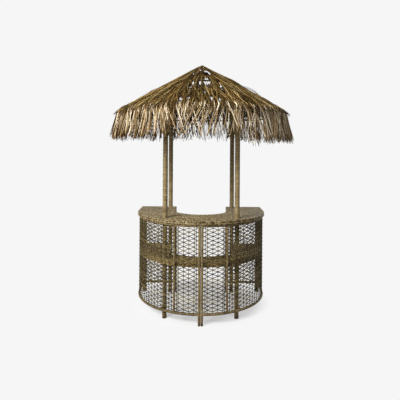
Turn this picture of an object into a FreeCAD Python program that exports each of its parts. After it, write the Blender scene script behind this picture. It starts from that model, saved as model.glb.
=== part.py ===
import FreeCAD, Part
import math
import os

from FreeCAD import Vector

# A garden bar hut: a horseshoe counter of woven wicker on tube frames, and four poles that carry
# a round thatched roof. Millimetres, +Z up. The origin is on the floor, midway between the poles.
# Guests stand on the -Y side. The server stands on the +Y side, in the well between the wings.

# Poles, at the corners of a square
pole_pitch = 720.0
pole_diameter = 46.0
pole_wall = 1.5

# Counter: a half circle in front, two straight wings behind it
drum_center_y = 130.0
drum_radius = 690.0
counter_height = 1000.0
counter_thickness = 36.0
counter_overhang = 10.0
counter_back_overhang = 3.0
well_radius = 290.0
seam_angle = 18.0
seam_gap = 1.0

# Frame tubes of the counter
rail_diameter = 25.0
rail_wall = 1.2
rail_lift = 95.0
tube_diameter = 22.0
tube_wall = 1.2
center_gap = 7.0
stile_angle = 22.2

# Woven openwork between the rails
weave_thickness = 6.0
stake_pitch = 47.0
stake_width = 6.0
strand_width = 5.0
knot_pitch = 41.0
section_bays = 4

# Shelf at half height
shelf_height = 585.0
shelf_thickness = 35.0
shelf_inner_radius = 383.0

# Shelf brackets: bent flat steel
bracket_reach = 60.0
bracket_drop = 40.0
bracket_width = 24.0
bracket_plate = 3.0

# Feet
foot_thickness = 5.0
spigot_length = 20.0

# Roof: a cone of thatch in layers, each measured square to the slope
apex_height = 2606.0
roof_pitch = 30.0
eave_radius = 920.0
thatch_thickness = 35.0
cap_radius = 330.0
upper_course_radius = 630.0
course_gap = 0.5
fringe_drop = 310.0
fringe_flare = 33.0
fringe_hem = 18.0
hoop_diameter = 16.0
upper_hoop_radius = 300.0
middle_hoop_radius = 600.0
eave_hoop_inset = 40.0
rafter_count = 8
rafter_diameter = 25.0
rafter_wall = 1.2
rafter_inset = 28.0
ring_diameter = 32.0
ring_wall = 1.5
hub_radius = 60.0
hub_face = 36.0
hub_spigot_length = 30.0
saddle_web = 8.0
saddle_spigot_length = 40.0

# Fasteners
leg_bolt_diameter = 6.0
leg_bolt_heights = (200.0, 850.0)
spacer_diameter = 14.0
pole_bolt_diameter = 8.0
screw_diameter = 5.0
screw_bite = 22.0
top_screw_angles = (9.0, 28.0, 46.0, 70.0)
wing_screw_y = 250.0
rear_screw_x = 480.0
rafter_screw_tip = 6.0
head_to_shank = 1.7
head_height = 3.5
nut_height = 5.0

# Clearances
fit_gap = 0.3
hole_clearance = 0.5

# Places worked out from the sizes above
pole_radius = pole_diameter / 2
pole_offset = pole_pitch / 2
rail_radius = rail_diameter / 2
tube_radius = tube_diameter / 2
rail_line = drum_radius - rail_radius
counter_underside = counter_height - counter_thickness
bottom_rail_z = rail_lift + rail_radius
top_rail_z = counter_underside - fit_gap - rail_radius
back_line_y = pole_offset + pole_radius + fit_gap + tube_radius
corner_leg_x = drum_radius - pole_radius
inner_leg_x = well_radius + tube_radius + fit_gap
counter_radius = drum_radius + counter_overhang
counter_back_y = back_line_y + pole_radius + counter_back_overhang
center_leg_x = center_gap / 2 + tube_radius
center_leg_y = drum_center_y - math.sqrt(rail_line ** 2 - center_leg_x ** 2)
shelf_radius = rail_line - tube_radius - fit_gap
shelf_back_y = pole_offset - pole_radius - fit_gap
shelf_underside = shelf_height - shelf_thickness
pitch = math.radians(roof_pitch)
hoop_depth = thatch_thickness + fit_gap + hoop_diameter / 2
rafter_depth = hoop_depth + hoop_diameter / 2 + fit_gap + rafter_diameter / 2
ring_depth = rafter_depth + rafter_diameter / 2 + fit_gap + ring_diameter / 2
ring_radius = pole_offset * math.sqrt(2)

up = Vector(0, 0, 1)


def save(name, *solids):
    """Write one sub-part, which may be several separate solids, to its STEP file."""
    shape = solids[0] if len(solids) == 1 else Part.makeCompound(list(solids))
    shape.exportStep(os.path.join("parts", name + ".step"))


def mirrored(shape):
    """The left-hand twin of a right-hand piece."""
    return shape.mirror(Vector(0, 0, 0), Vector(1, 0, 0))


def save_pair(name, *solids):
    """Write a right-hand sub-part and its left-hand twin."""
    save(name + "_right", *solids)
    save(name + "_left", *[mirrored(solid) for solid in solids])


def rod(start, end, diameter):
    """Solid round bar between two points."""
    along = end - start
    return Part.makeCylinder(diameter / 2, along.Length, start, along)


def tube(start, end, diameter, wall):
    """Round tube between two points, open at both ends."""
    return rod(start, end, diameter).cut(rod(start, end, diameter - 2 * wall))


def disc(center, normal, diameter):
    """Flat round face."""
    return Part.Face(Part.Wire(Part.makeCircle(diameter / 2, center, normal)))


def swept_tube(sweep, center, normal, diameter, wall):
    """Tube whose outside and bore follow one sweep."""
    outer = sweep(disc(center, normal, diameter))
    return outer.cut(sweep(disc(center, normal, diameter - 2 * wall)))


def largest(shape):
    """The main solid, without chips that a cut leaves."""
    return max(shape.Solids, key=lambda solid: solid.Volume)


def drilled(shape, tools):
    """Shape with its fastener holes."""
    for tool in tools:
        shape = shape.cut(tool)
    return shape


def on_drum(radius, angle, z):
    """Point on the half circle, at an angle from its front centre towards +X."""
    turn = math.radians(angle)
    return Vector(radius * math.sin(turn), drum_center_y - radius * math.cos(turn), z)


def outward(angle):
    """Unit vector that points away from the drum's axis."""
    turn = math.radians(angle)
    return Vector(math.sin(turn), -math.cos(turn), 0)


def along_drum(angle):
    """Unit vector that runs along the drum's wall."""
    turn = math.radians(angle)
    return Vector(math.cos(turn), math.sin(turn), 0)


def on_roof(radius, depth, azimuth=0.0):
    """Point under the cone's surface, at a horizontal radius and a depth square to the slope."""
    turn = math.radians(azimuth)
    z = apex_height - depth / math.cos(pitch) - radius * math.tan(pitch)
    return Vector(radius * math.cos(turn), radius * math.sin(turn), z)


def roof_normal(azimuth=0.0):
    """Unit vector square to the slope, pointing out of the roof."""
    turn = math.radians(azimuth)
    return Vector(math.sin(pitch) * math.cos(turn), math.sin(pitch) * math.sin(turn), math.cos(pitch))


def downslope(azimuth=0.0):
    """Unit vector that runs down the slope."""
    turn = math.radians(azimuth)
    return Vector(math.cos(pitch) * math.cos(turn), math.cos(pitch) * math.sin(turn), -math.sin(pitch))


def azimuths():
    """Directions of the rafters. The second, fourth and so on stand over the poles."""
    return [360.0 * index / rafter_count for index in range(rafter_count)]


def head_radius(diameter):
    """Radius of a screw's head, and of a bolt's nut."""
    return diameter / 2 * head_to_shank


def fastener(seat, direction, diameter, length, nut=False):
    """Screw or bolt: a round head behind its seat, a shank, and a nut at the far end if asked."""
    radius = head_radius(diameter)
    body = Part.makeCylinder(radius, head_height, seat, direction * -1)
    body = body.fuse(Part.makeCylinder(diameter / 2, length, seat, direction))
    if nut:
        nut_seat = seat + direction * (length - nut_height)
        body = body.fuse(Part.makeCylinder(radius, nut_height, nut_seat, direction))
    return body.removeSplitter()


def drill(seat, direction, diameter, length):
    """The space that a shank passes through, with its clearance."""
    return Part.makeCylinder(diameter / 2 + fit_gap, length, seat, direction)


def inside_seat(diameter, bore):
    """Distance from a tube's axis to a flat head that bears on the inside of its wall."""
    return math.sqrt((bore / 2) ** 2 - head_radius(diameter) ** 2) - fit_gap


def inside_drill(center, direction, diameter, reach):
    """Holes for a fastener whose head bears inside a tube: one for its shank, and one to reach it."""
    access = Part.makeCylinder(head_radius(diameter) + hole_clearance, reach, center, direction * -1)
    return [drill(center, direction, diameter, reach), access]


# Where the fasteners sit

def top_screw_centers():
    """Points on the axis of the right-hand top rail where screws go up into the counter."""
    centers = [on_drum(rail_line, angle, top_rail_z) for angle in top_screw_angles]
    centers.append(Vector(rail_line, wing_screw_y, top_rail_z))
    return centers


def rear_screw_center():
    """Point on the axis of the rear top rail where its screw goes up."""
    return Vector(rear_screw_x, back_line_y, rear_top_z())


def counter_screw(center, bore):
    """Screw with its head inside a rail."""
    seat = center + up * inside_seat(screw_diameter, bore)
    return fastener(seat, up, screw_diameter, counter_underside + screw_bite - seat.z)


def pole_bolt_seats():
    """Back of the rear rails, where a bolt goes through into the rear pole."""
    seat_y = back_line_y + tube_radius
    return [Vector(pole_offset, seat_y, z) for z in (bottom_rail_z, rear_top_z())]


def pole_bolt_length():
    """Through the rail and the pole, with room for the nut."""
    return tube_diameter + fit_gap + pole_diameter + nut_height


def rear_top_z():
    """Centre height of the rear top rail, which touches the counter like the curved one."""
    return counter_underside - fit_gap - tube_radius


def rafter_screw_seat(azimuth):
    """Top of the rafter over the roof ring."""
    center = on_roof(ring_radius, ring_depth, azimuth)
    return center + roof_normal(azimuth) * (ring_depth - rafter_depth + rafter_diameter / 2)


def rafter_screw_length():
    """Through the rafter and the upper wall of the ring."""
    return rafter_diameter + fit_gap + ring_wall + rafter_screw_tip


# Counter frame, right-hand side

def curved_rail(z):
    """Rail from the centre leg round the half circle and straight back to the corner leg."""
    bend = swept_tube(lambda face: face.revolve(Vector(0, drum_center_y, z), up, 90),
                      on_drum(rail_line, 0, z), Vector(1, 0, 0), rail_diameter, rail_wall)
    straight = tube(Vector(rail_line, drum_center_y, z), Vector(rail_line, back_line_y, z),
                    rail_diameter, rail_wall)
    rail = bend.fuse(straight).removeSplitter()
    seats = (
        (Vector(center_leg_x, center_leg_y, z - rail_diameter), tube_radius),
        (Vector(corner_leg_x, back_line_y, z - rail_diameter), pole_radius),
    )
    for seat, radius in seats:
        rail = rail.cut(Part.makeCylinder(radius + fit_gap, 2 * rail_diameter, seat, up))
    return largest(rail)


def top_rail():
    """Curved rail under the counter's edge, drilled for the counter's screws."""
    tools = []
    for center in top_screw_centers():
        tools += inside_drill(center, up, screw_diameter, rail_radius + fit_gap)
    return drilled(curved_rail(top_rail_z), tools)


def rear_rail(z, screw_centers):
    """Straight rail from the corner leg to the leg beside the well, coped to both."""
    rail = tube(Vector(inner_leg_x, back_line_y, z), Vector(corner_leg_x, back_line_y, z),
                tube_diameter, tube_wall)
    legs = ((corner_leg_x, pole_radius), (inner_leg_x, tube_radius))
    for x, radius in legs:
        foot = Vector(x, back_line_y, z - tube_diameter)
        rail = rail.cut(Part.makeCylinder(radius + fit_gap, 2 * tube_diameter, foot, up))
    bolt = Vector(pole_offset, back_line_y + tube_radius, z)
    tools = [drill(bolt, Vector(0, -1, 0), pole_bolt_diameter, tube_diameter)]
    for center in screw_centers:
        tools += inside_drill(center, up, screw_diameter, tube_radius + fit_gap)
    return largest(drilled(rail, tools))


def center_leg():
    """One of the two slim legs side by side at the front, drilled for the bolts that join them."""
    leg = tube(Vector(center_leg_x, center_leg_y, foot_thickness),
               Vector(center_leg_x, center_leg_y, counter_underside), tube_diameter, tube_wall)
    tools = []
    for z in leg_bolt_heights:
        center = Vector(center_leg_x, center_leg_y, z)
        tools += inside_drill(center, Vector(-1, 0, 0), leg_bolt_diameter, tube_radius + fit_gap)
    return drilled(leg, tools)


def stile():
    """Upright between the rails, with its ends coped to them."""
    rails = (bottom_rail_z, top_rail_z)
    upright = tube(on_drum(rail_line, stile_angle, rails[0]), on_drum(rail_line, stile_angle, rails[1]),
                   tube_diameter, tube_wall)
    run = along_drum(stile_angle) * tube_diameter
    for z in rails:
        middle = on_drum(rail_line, stile_angle, z)
        upright = upright.cut(rod(middle - run, middle + run, rail_diameter + 2 * fit_gap))
    return largest(upright)


def wing_leg(x, diameter, wall):
    """Leg on the back line, from its foot to the counter."""
    return tube(Vector(x, back_line_y, foot_thickness), Vector(x, back_line_y, counter_underside),
                diameter, wall)


def pole_tie(z):
    """Short tube that ties a front pole to the rail outside it."""
    angle = math.degrees(math.atan2(pole_offset, drum_center_y + pole_offset))
    reach = math.hypot(pole_offset, drum_center_y + pole_offset)
    tie = tube(on_drum(reach, angle, z), on_drum(rail_line, angle, z), tube_diameter, tube_wall)
    foot = Vector(pole_offset, -pole_offset, z - tube_diameter)
    tie = tie.cut(Part.makeCylinder(pole_radius + fit_gap, 2 * tube_diameter, foot, up))
    run = along_drum(angle) * tube_diameter
    middle = on_drum(rail_line, angle, z)
    tie = tie.cut(rod(middle - run, middle + run, rail_diameter + 2 * fit_gap))
    return largest(tie)


def foot_cap(x, y, diameter, wall):
    """Plug that closes a tube's lower end and stands on the floor."""
    disc = Part.makeCylinder(diameter / 2, foot_thickness, Vector(x, y, 0), up)
    spigot = Part.makeCylinder(diameter / 2 - wall - fit_gap, spigot_length,
                               Vector(x, y, foot_thickness), up)
    return disc.fuse(spigot).removeSplitter()


def center_bolt(z):
    """Bolt that joins the two centre legs, with its head and nut inside them."""
    seat_x = center_leg_x - inside_seat(leg_bolt_diameter, tube_diameter - 2 * tube_wall)
    seat = Vector(-seat_x, center_leg_y, z)
    return fastener(seat, Vector(1, 0, 0), leg_bolt_diameter, 2 * seat_x + nut_height, nut=True)


def center_spacer(z):
    """Washer that keeps the two centre legs apart."""
    half = center_gap / 2 - fit_gap / 2
    start = Vector(-half, center_leg_y, z)
    end = Vector(half, center_leg_y, z)
    bore = leg_bolt_diameter + 2 * fit_gap
    return tube(start, end, spacer_diameter, (spacer_diameter - bore) / 2)


# Poles

def pole_top_z():
    """Top of the poles, under the saddles that hold the roof ring."""
    return on_roof(ring_radius, ring_depth).z - ring_diameter / 2 - saddle_web


def pole(y, bolt_seats):
    """Right-hand pole from its foot to the roof."""
    shaft = tube(Vector(pole_offset, y, foot_thickness), Vector(pole_offset, y, pole_top_z()),
                 pole_diameter, pole_wall)
    tools = [drill(seat, Vector(0, -1, 0), pole_bolt_diameter, pole_bolt_length())
             for seat in bolt_seats]
    return drilled(shaft, tools)


# Counter tops and shelves

def u_plate(outer_radius, inner_radius, back_y, z, thickness):
    """Horseshoe plate: concentric half circles with straight wings back to one line."""
    def edges(radius):
        left = Vector(-radius, drum_center_y, z)
        right = Vector(radius, drum_center_y, z)
        return left, Part.Arc(left, Vector(0, drum_center_y - radius, z), right).toShape(), right
    outer_left, outer_arc, outer_right = edges(outer_radius)
    inner_left, inner_arc, inner_right = edges(inner_radius)
    corners = [Vector(x, back_y, z) for x in (outer_radius, inner_radius, -inner_radius, -outer_radius)]
    wire = Part.Wire([
        outer_arc,
        Part.makeLine(outer_right, corners[0]),
        Part.makeLine(corners[0], corners[1]),
        Part.makeLine(corners[1], inner_right),
        inner_arc,
        Part.makeLine(inner_left, corners[2]),
        Part.makeLine(corners[2], corners[3]),
        Part.makeLine(corners[3], outer_left),
    ])
    return Part.Face(wire).extrude(Vector(0, 0, thickness))


def d_plate(radius, back_y, z, thickness):
    """Plate with a half circle in front and a straight back."""
    left = Vector(-radius, drum_center_y, z)
    right = Vector(radius, drum_center_y, z)
    front = Part.Arc(left, Vector(0, drum_center_y - radius, z), right).toShape()
    back_right = Vector(radius, back_y, z)
    back_left = Vector(-radius, back_y, z)
    wire = Part.Wire([front, Part.makeLine(right, back_right), Part.makeLine(back_right, back_left),
                      Part.makeLine(back_left, left)])
    return Part.Face(wire).extrude(Vector(0, 0, thickness))


def beside_seam(side, z, thickness):
    """Block on one side of the right-hand seam: +1 is the wing's side, -1 the centre's."""
    turn = math.radians(seam_angle)
    run = Vector(-math.sin(turn), math.cos(turn), 0)
    across = Vector(math.cos(turn), math.sin(turn), 0) * side
    middle = Vector(pole_offset, -pole_offset, z) + across * (seam_gap / 2)
    reach = 4 * drum_radius
    corners = [middle - run * reach, middle + run * reach]
    corners += [corners[1] + across * reach, corners[0] + across * reach]
    return Part.Face(Part.makePolygon(corners + corners[:1])).extrude(Vector(0, 0, thickness))


def pole_holes(z, thickness):
    """Round holes that the right-hand poles pass through."""
    return [Part.makeCylinder(pole_radius + hole_clearance, thickness, Vector(pole_offset, y, z), up)
            for y in (-pole_offset, pole_offset)]


def screw_holes():
    """Blind holes in the counter's underside, on the right-hand side."""
    centers = top_screw_centers() + [rear_screw_center()]
    return [drill(Vector(center.x, center.y, counter_underside), up, screw_diameter,
                  screw_bite + fit_gap) for center in centers]


def counter_center():
    """Front section of the counter, between the two seams."""
    plate = u_plate(counter_radius, well_radius, counter_back_y, counter_underside, counter_thickness)
    keep = beside_seam(-1, counter_underside, counter_thickness)
    plate = plate.common(keep).common(mirrored(keep))
    tools = pole_holes(counter_underside, counter_thickness) + screw_holes()
    for tool in tools:
        plate = plate.cut(tool).cut(mirrored(tool))
    return largest(plate)


def counter_wing():
    """Right-hand section of the counter, from the seam to the back."""
    plate = u_plate(counter_radius, well_radius, counter_back_y, counter_underside, counter_thickness)
    plate = plate.common(beside_seam(1, counter_underside, counter_thickness))
    plate = drilled(plate, pole_holes(counter_underside, counter_thickness) + screw_holes())
    return largest(plate)


def shelf_center():
    """Curved shelf behind the front openwork, between the seams."""
    plate = d_plate(shelf_radius, shelf_back_y, shelf_underside, shelf_thickness)
    well = Part.makeCylinder(shelf_inner_radius, shelf_thickness,
                             Vector(0, drum_center_y, shelf_underside), up)
    keep = beside_seam(-1, shelf_underside, shelf_thickness)
    plate = plate.common(keep).common(mirrored(keep)).cut(well)
    for tool in pole_holes(shelf_underside, shelf_thickness)[:1]:
        plate = plate.cut(tool).cut(mirrored(tool))
    front = [solid for solid in plate.Solids if solid.CenterOfMass.y < drum_center_y]
    return max(front, key=lambda solid: solid.Volume)


def shelf_wing():
    """Right-hand shelf, between the front and rear poles and out to the openwork."""
    plate = d_plate(shelf_radius, shelf_back_y, shelf_underside, shelf_thickness)
    plate = plate.common(beside_seam(1, shelf_underside, shelf_thickness))
    inner_x = pole_offset - pole_radius
    corner = Vector(-2 * drum_radius, -2 * drum_radius, shelf_underside)
    well = Part.makeBox(2 * drum_radius + inner_x, 4 * drum_radius, shelf_thickness, corner)
    plate = plate.cut(well)
    plate = drilled(plate, pole_holes(shelf_underside, shelf_thickness)[:1])
    return largest(plate)


def bracket(support, inward, support_radius):
    """Bent flat steel on an upright, with its arm under the shelf."""
    across = Vector(-inward.y, inward.x, 0)
    face = support + inward * (support_radius + fit_gap)
    start = Vector(face.x, face.y, shelf_underside) - across * (bracket_width / 2)
    profile = [
        start,
        start + inward * bracket_reach,
        start + inward * bracket_reach - up * bracket_plate,
        start + inward * bracket_plate - up * bracket_plate,
        start + inward * bracket_plate - up * bracket_drop,
        start - up * bracket_drop,
    ]
    return Part.Face(Part.makePolygon(profile + profile[:1])).extrude(across * bracket_width)


def brackets():
    """Brackets on the right-hand uprights: poles, stile, centre leg and corner leg."""
    front_pole = Vector(pole_offset, -pole_offset, 0)
    rear_pole = Vector(pole_offset, pole_offset, 0)
    beside_weave = rail_line - weave_thickness / 2 - hole_clearance - bracket_width / 2
    return [
        bracket(front_pole, Vector(0, 1, 0), pole_radius),
        bracket(front_pole, Vector(-1, 0, 0), pole_radius),
        bracket(rear_pole, Vector(0, -1, 0), pole_radius),
        bracket(Vector(beside_weave, back_line_y, 0), Vector(0, -1, 0), pole_radius),
        bracket(on_drum(rail_line, stile_angle, 0), outward(stile_angle) * -1, tube_radius),
        bracket(Vector(center_leg_x, center_leg_y, 0), Vector(0, 1, 0), tube_radius),
    ]


# Openwork: upright stakes with pairs of strands that cross on every other one

def weave_holes(length, bottom, top, first):
    """Three-cornered gaps of one bay, as (distance, height) corners.

    The strands run from a knot on one stake to the two half-way heights on the next one.
    When first is true the knots at the ends of the panel are on the bay's first stake.
    """
    count = max(1, round((top - bottom) / knot_pitch))
    step = (top - bottom) / count
    slope = step / 2 / length
    inset = strand_width / 2 * math.sqrt(1 + slope ** 2)
    near = stake_width / 2
    tip = (step / 2 - inset) / slope
    far = length - near
    holes = []
    for index in range(count):
        low = bottom + index * step
        high = low + step
        holes.append([(near, low + slope * near + inset), (tip, low + step / 2),
                      (near, high - slope * near - inset)])
    for index in range(1, count):
        level = bottom + index * step
        rise = slope * far - inset
        holes.append([(far, level - rise), (far, level + rise), (length - tip, level)])
    edge = strand_width / 2
    start = (edge + inset) / slope
    holes.append([(start, bottom + edge), (far, bottom + edge), (far, bottom + slope * far - inset)])
    holes.append([(start, top - edge), (far, top - slope * far + inset), (far, top - edge)])
    if first:
        return holes
    return [[(length - distance, height) for distance, height in reversed(hole)] for hole in holes]


def ring_of_walls(outer_points, inner_points):
    """Flat walls that join the two rims of a hole or of the panel's edge."""
    walls = []
    for index, outer_point in enumerate(outer_points):
        after = (index + 1) % len(outer_points)
        corners = [outer_point, outer_points[after], inner_points[after], inner_points[index]]
        walls.append(Part.Face(Part.makePolygon(corners + corners[:1])))
    return walls


def weave_bay(start, end, start_normal, end_normal, bottom, top, first):
    """Faces of one flat bay between two stakes: front, back, and the walls of its gaps."""
    half = weave_thickness / 2
    sides = []
    for sign in (1, -1):
        a = start + start_normal * (half * sign)
        b = end + end_normal * (half * sign)
        sides.append((a, b))
    run = (end - start).normalize()
    length = (end - start).Length
    holes = weave_holes(length, bottom, top, first)
    rims = []
    faces = []
    for a, b in sides:
        middle = (a + b) * 0.5
        frame = [Vector(p.x, p.y, z) for p, z in ((a, bottom), (b, bottom), (b, top), (a, top))]
        rim = []
        for hole in holes:
            points = [middle + run * (distance - length / 2) for distance, _ in hole]
            rim.append([Vector(p.x, p.y, height) for p, (_, height) in zip(points, hole)])
        wires = [Part.makePolygon(points + points[:1]) for points in [frame] + rim]
        faces.append(Part.Face(wires))
        rims.append((frame, rim))
    for outer_rim, inner_rim in zip(rims[0][1], rims[1][1]):
        faces += ring_of_walls(outer_rim, inner_rim)
    frames = [rims[0][0], rims[1][0]]
    return faces, frames


def weave_section(stations, bottom, top, first):
    """One solid of openwork over a few bays, closed by its edge walls."""
    faces = []
    bays = list(zip(stations, stations[1:]))
    for index, ((start, start_normal), (end, end_normal)) in enumerate(bays):
        bay_first = first if index % 2 == 0 else not first
        bay_faces, (outer, inner) = weave_bay(start, end, start_normal, end_normal,
                                              bottom, top, bay_first)
        faces += bay_faces
        edges = [0, 2]
        if index == 0:
            edges.append(3)
        if index == len(bays) - 1:
            edges.append(1)
        walls = ring_of_walls(outer, inner)
        faces += [walls[edge] for edge in edges]
    shell = Part.makeCompound(faces)
    shell.sewShape()
    solid = Part.makeSolid(shell.Shells[0])
    if solid.Volume < 0:
        solid.reverse()
    return solid


def weave_panel(place, length):
    """Openwork along a path, cut at its stakes into sections so that each is nearly flat."""
    bottom = bottom_rail_z + rail_radius + fit_gap
    top = top_rail_z - rail_radius - fit_gap
    bays = round(length / stake_pitch)
    stations = [place(length * index / bays) for index in range(bays + 1)]
    count = math.ceil(bays / section_bays)
    cuts = [round(bays * index / count) for index in range(count + 1)]
    return [weave_section(stations[start:end + 1], bottom, top, start % 2 == 0)
            for start, end in zip(cuts, cuts[1:])]


def drum_place(start_angle):
    """Path on the rails' centre line, round the half circle and then straight back."""
    bend = rail_line * math.radians(90 - start_angle)

    def place(distance):
        if distance <= bend:
            angle = start_angle + math.degrees(distance / rail_line)
            return on_drum(rail_line, angle, 0), outward(angle)
        return Vector(rail_line, drum_center_y + distance - bend, 0), Vector(1, 0, 0)
    return place


def beside_tube(angle, side, radius):
    """Angle on the drum at which a panel meets the side of an upright."""
    return angle + side * math.degrees((radius + fit_gap) / rail_line)


def front_weave():
    """Openwork from the centre leg to the stile."""
    leg_angle = math.degrees(math.asin(center_leg_x / rail_line))
    start = beside_tube(leg_angle, 1, tube_radius)
    end = beside_tube(stile_angle, -1, tube_radius)
    return weave_panel(drum_place(start), rail_line * math.radians(end - start))


def side_weave():
    """Openwork from the stile round the side to the corner leg."""
    start = beside_tube(stile_angle, 1, tube_radius)
    reach = pole_radius + fit_gap + weave_thickness / 2
    meet = math.sqrt(reach ** 2 - (rail_line - corner_leg_x) ** 2)
    length = rail_line * math.radians(90 - start) + back_line_y - meet - drum_center_y
    return weave_panel(drum_place(start), length)


def rear_weave():
    """Flat openwork across the back of a wing, from the corner leg to the leg beside the well."""
    start_x = corner_leg_x - pole_radius - fit_gap
    end_x = inner_leg_x + tube_radius + fit_gap

    def place(distance):
        return Vector(start_x - distance, back_line_y, 0), Vector(0, 1, 0)
    return weave_panel(place, start_x - end_x)


# Roof

def hoop(radius, depth, diameter, wall):
    """Round tube bent to a full circle under the slope."""
    center = on_roof(radius, depth)
    outer = Part.makeTorus(radius, diameter / 2, Vector(0, 0, center.z), up)
    inner = Part.makeTorus(radius, diameter / 2 - wall, Vector(0, 0, center.z), up)
    return outer.cut(inner)


def roof_ring():
    """Hoop on the pole tops, drilled for the rafters' screws."""
    ring = hoop(ring_radius, ring_depth, ring_diameter, ring_wall)
    tools = []
    for azimuth in azimuths():
        seat = rafter_screw_seat(azimuth)
        tools.append(drill(seat, roof_normal(azimuth) * -1, screw_diameter, rafter_screw_length()))
    return drilled(ring, tools)


def rafter(azimuth):
    """Tube from the hub to the eave, drilled over the roof ring."""
    start = on_roof(hub_radius, rafter_depth, azimuth)
    end = on_roof(eave_radius - rafter_inset, rafter_depth, azimuth)
    beam = tube(start, end, rafter_diameter, rafter_wall)
    seat = rafter_screw_seat(azimuth)
    tool = drill(seat, roof_normal(azimuth) * -1, screw_diameter, rafter_diameter)
    return beam.cut(tool)


def rafter_screw(azimuth):
    """Screw through a rafter into the roof ring."""
    return fastener(rafter_screw_seat(azimuth), roof_normal(azimuth) * -1, screw_diameter,
                    rafter_screw_length())


def hub():
    """Casting under the apex: a flat-sided block with a spigot for each rafter."""
    half = hub_face / 2
    levels = []
    for sign in (-1, 1):
        apothem = hub_radius + sign * half * math.sin(pitch)
        z = on_roof(hub_radius, rafter_depth).z + sign * half * math.cos(pitch)
        corner = apothem / math.cos(math.pi / rafter_count)
        points = []
        for azimuth in azimuths():
            turn = math.radians(azimuth) + math.pi / rafter_count
            points.append(Vector(corner * math.cos(turn), corner * math.sin(turn), z))
        levels.append(Part.makePolygon(points + points[:1]))
    block = Part.makeLoft(levels, True, True)
    spigot = rafter_diameter - 2 * rafter_wall - 2 * fit_gap
    for azimuth in azimuths():
        face = on_roof(hub_radius, rafter_depth, azimuth)
        root = face - downslope(azimuth) * (hub_radius / 4)
        block = block.fuse(rod(root, face + downslope(azimuth) * hub_spigot_length, spigot))
    return block.removeSplitter()


def saddle(x, y):
    """Plug in a pole's top with a cradle that holds the roof ring."""
    ring_z = on_roof(ring_radius, ring_depth).z
    top = pole_top_z()
    block = rod(Vector(x, y, top), Vector(x, y, ring_z), pole_diameter)
    spigot = rod(Vector(x, y, top - saddle_spigot_length), Vector(x, y, top),
                 pole_diameter - 2 * pole_wall - 2 * fit_gap)
    cradle = Part.makeTorus(ring_radius, ring_diameter / 2 + fit_gap, Vector(0, 0, ring_z), up)
    return block.fuse(spigot).cut(cradle).removeSplitter()


def revolved(points):
    """Solid of revolution about the roof's axis from (radius, height) corners."""
    corners = [Vector(radius, 0, z) for radius, z in points]
    face = Part.Face(Part.makePolygon(corners + corners[:1]))
    return face.revolve(Vector(0, 0, 0), up, 360)


def under(radius, depth):
    """(radius, height) of the point square under a surface point of the slope."""
    z = apex_height - radius * math.tan(pitch)
    return radius - depth * math.sin(pitch), z - depth * math.cos(pitch)


def course(start_radius, end_radius):
    """Band of thatch between two radii of the slope."""
    return revolved([under(start_radius, 0), under(end_radius, 0),
                     under(end_radius, thatch_thickness), under(start_radius, thatch_thickness)])


def thatch_cap():
    """Pointed top of the thatch."""
    return revolved([(0, apex_height), under(cap_radius, 0), under(cap_radius, thatch_thickness),
                     (0, apex_height - thatch_thickness / math.cos(pitch))])


def fringe():
    """Skirt of loose thatch that hangs from the eave and spreads a little."""
    step = course_gap * math.cos(pitch)
    sink = course_gap * math.sin(pitch)
    top_outer = under(eave_radius, 0)
    top_inner = under(eave_radius, thatch_thickness)
    hem_z = top_outer[1] - fringe_drop
    hem_outer = eave_radius + fringe_flare
    return revolved([(top_outer[0] + step, top_outer[1] - sink), (hem_outer, hem_z),
                     (hem_outer - fringe_hem, hem_z), (top_inner[0] + step, top_inner[1] - sink)])


def build_counter():
    """Frame, openwork, counter tops and shelves."""
    save_pair("bottom_rail", curved_rail(bottom_rail_z))
    save_pair("top_rail", top_rail())
    save_pair("center_leg", center_leg())
    save_pair("stile", stile())
    save_pair("corner_leg", wing_leg(corner_leg_x, pole_diameter, pole_wall))
    save_pair("inner_leg", wing_leg(inner_leg_x, tube_diameter, tube_wall))
    save_pair("rear_bottom_rail", rear_rail(bottom_rail_z, []))
    save_pair("rear_top_rail", rear_rail(rear_top_z(), [rear_screw_center()]))
    save_pair("front_weave", *front_weave())
    save_pair("side_weave", *side_weave())
    save_pair("rear_weave", *rear_weave())
    save("counter_center", counter_center())
    save_pair("counter", counter_wing())
    save("shelf_center", shelf_center())
    save_pair("shelf", shelf_wing())
    right = brackets()
    save("shelf_brackets", *right, *[mirrored(piece) for piece in right])


def build_poles():
    """Poles, their ties and saddles, and every foot."""
    save_pair("front_pole", pole(-pole_offset, []))
    save_pair("rear_pole", pole(pole_offset, pole_bolt_seats()))
    ties = [pole_tie(z) for z in (bottom_rail_z, top_rail_z)]
    save("pole_ties", *ties, *[mirrored(tie) for tie in ties])
    corners = [(x, y) for x in (-pole_offset, pole_offset) for y in (-pole_offset, pole_offset)]
    save("pole_saddles", *[saddle(x, y) for x, y in corners])
    large = corners + [(-corner_leg_x, back_line_y), (corner_leg_x, back_line_y)]
    save("large_feet", *[foot_cap(x, y, pole_diameter, pole_wall) for x, y in large])
    small = [(side * x, y) for side in (-1, 1)
             for x, y in ((center_leg_x, center_leg_y), (inner_leg_x, back_line_y))]
    save("small_feet", *[foot_cap(x, y, tube_diameter, tube_wall) for x, y in small])


def build_fasteners():
    """Bolts and screws, alike ones together."""
    save("center_bolts", *[center_bolt(z) for z in leg_bolt_heights])
    save("center_spacers", *[center_spacer(z) for z in leg_bolt_heights])
    bolts = [fastener(seat, Vector(0, -1, 0), pole_bolt_diameter, pole_bolt_length(), nut=True)
             for seat in pole_bolt_seats()]
    save("pole_bolts", *bolts, *[mirrored(bolt) for bolt in bolts])
    screws = [counter_screw(center, rail_diameter - 2 * rail_wall) for center in top_screw_centers()]
    screws.append(counter_screw(rear_screw_center(), tube_diameter - 2 * tube_wall))
    save("counter_screws", *screws, *[mirrored(screw) for screw in screws])
    save("rafter_screws", *[rafter_screw(azimuth) for azimuth in azimuths()])


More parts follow.
